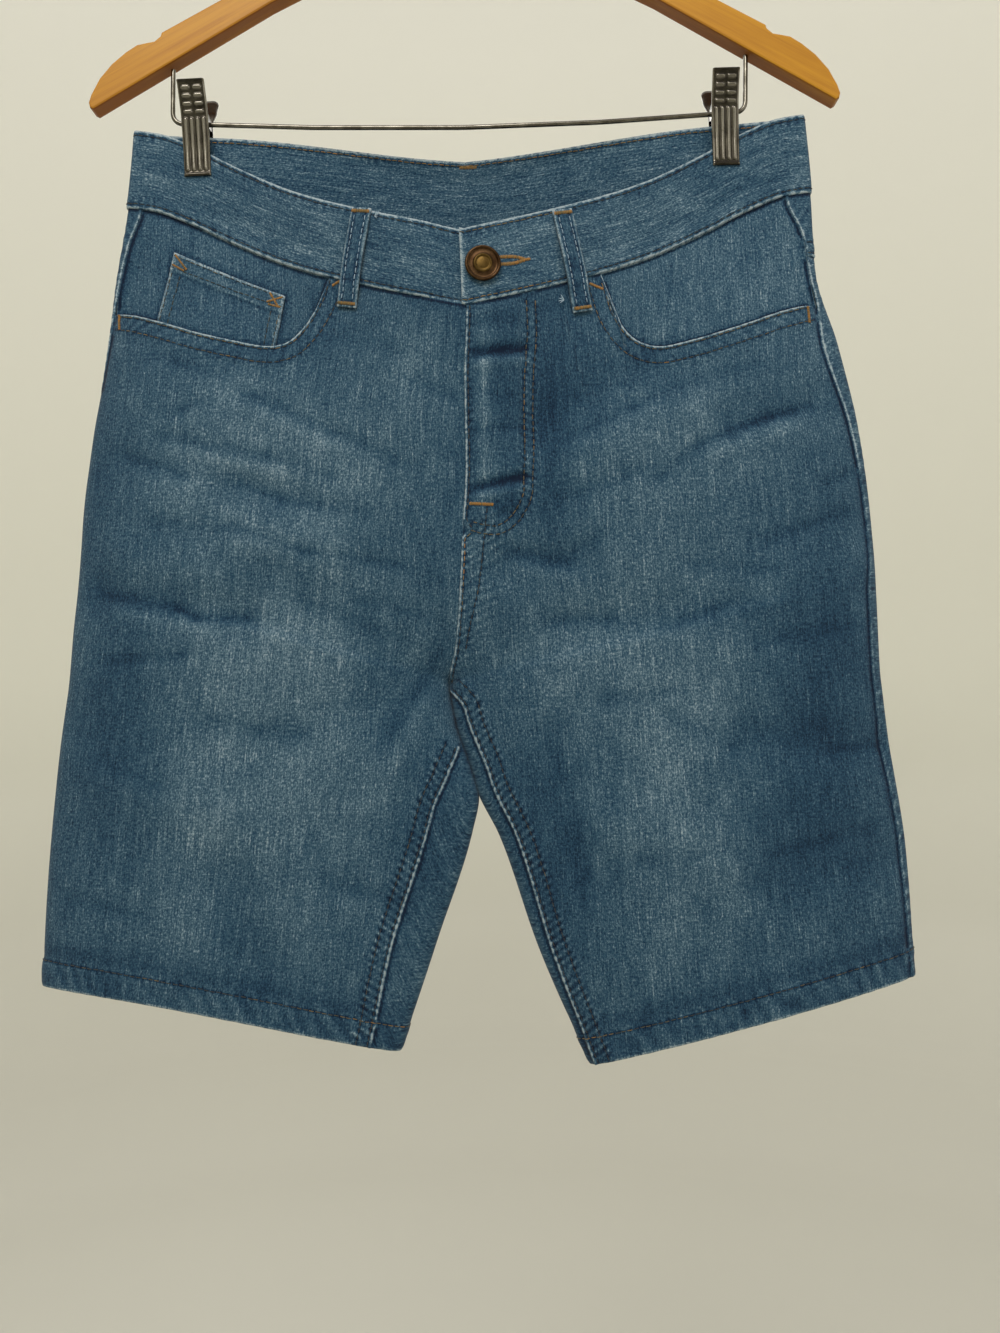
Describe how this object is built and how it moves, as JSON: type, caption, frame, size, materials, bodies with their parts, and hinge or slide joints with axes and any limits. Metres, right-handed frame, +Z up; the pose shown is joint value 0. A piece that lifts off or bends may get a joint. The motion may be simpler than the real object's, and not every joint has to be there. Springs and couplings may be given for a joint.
{
  "type": "denim shorts on a clip hanger",
  "caption": "Knee-length blue denim shorts, open at waist and hems, held flat by their waistband in the two clips of a wooden hanger with a hook.",
  "frame": {"origin": "the point inside the top of the hanger's hook that bears on a rail", "axes": "+Z up, +X to the right of someone facing the front of the shorts, and the front faces -Y"},
  "size_m": [0.508, 0.0619, 0.7537],
  "materials": {
    "denim": "stonewashed slubby twill denim, faded on the thighs, darker along the seams",
    "denim_inside": "the same denim where it faces a pocket mouth or backs the fly",
    "varnished_wood": "honey-coloured hardwood under satin varnish",
    "nickel_steel": "bright nickel-plated sheet and wire",
    "aged_copper": "antiqued copper-coloured tack button, rubbed bright on its rim"
  },
  "bodies": {
    "root": {"back_left": "denim", "back_pocket_left": "denim", "back_pocket_right": "denim", "back_right": "denim", "belt_loop_back_left": "denim", "belt_loop_back_right": "denim", "belt_loop_centre": "denim", "belt_loop_front_left": "denim", "belt_loop_front_right": "denim", "clip_bar": "nickel_steel", "clip_left_back": "nickel_steel", "clip_left_front": "nickel_steel", "clip_left_spring": "nickel_steel", "clip_right_back": "nickel_steel", "clip_right_front": "nickel_steel", "clip_right_spring": "nickel_steel", "coin_pocket": "denim", "fly_shield": "denim_inside", "front_left": "denim", "front_right": "denim", "hanger_arms": "varnished_wood", "hanger_hook": "nickel_steel", "pocket_facing_left": "denim_inside", "pocket_facing_right": "denim_inside", "tack_button": "aged_copper", "waistband": "denim", "yoke_left": "denim", "yoke_right": "denim"}
  },
  "joints": []
}
